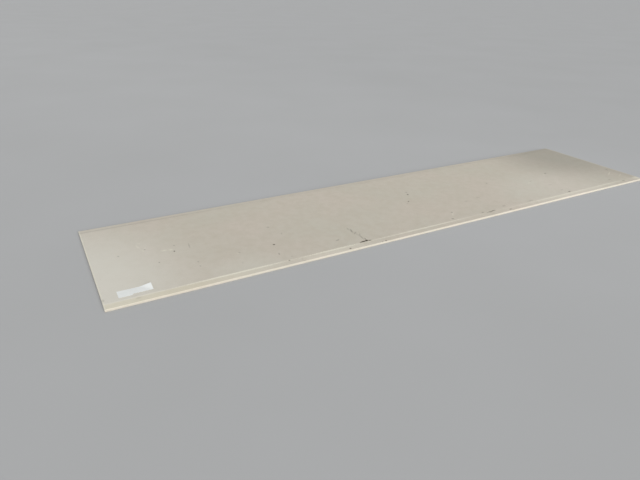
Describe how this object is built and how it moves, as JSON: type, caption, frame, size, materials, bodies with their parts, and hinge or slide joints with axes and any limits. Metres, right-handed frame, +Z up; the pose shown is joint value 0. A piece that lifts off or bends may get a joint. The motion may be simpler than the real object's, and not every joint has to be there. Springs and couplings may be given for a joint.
{
  "type": "drywall sheet",
  "caption": "Long narrow flat gypsum wall board with ivory paper faces, pressed-thin tapered long edges with rolled corners, and square-cut ends.",
  "frame": {"origin": "middle of the sheet's flat back, where it lies on the floor", "axes": "+X along the sheet's length, +Y across its width, +Z up, out of the face"},
  "size_m": [2.6, 0.6, 0.0095],
  "materials": {
    "ivory_paper": "matte",
    "gypsum": "matte",
    "grey_liner": "matte",
    "label_paper": "matte"
  },
  "bodies": {
    "root": {"drywall_sheet": "ivory_paper"}
  },
  "joints": []
}
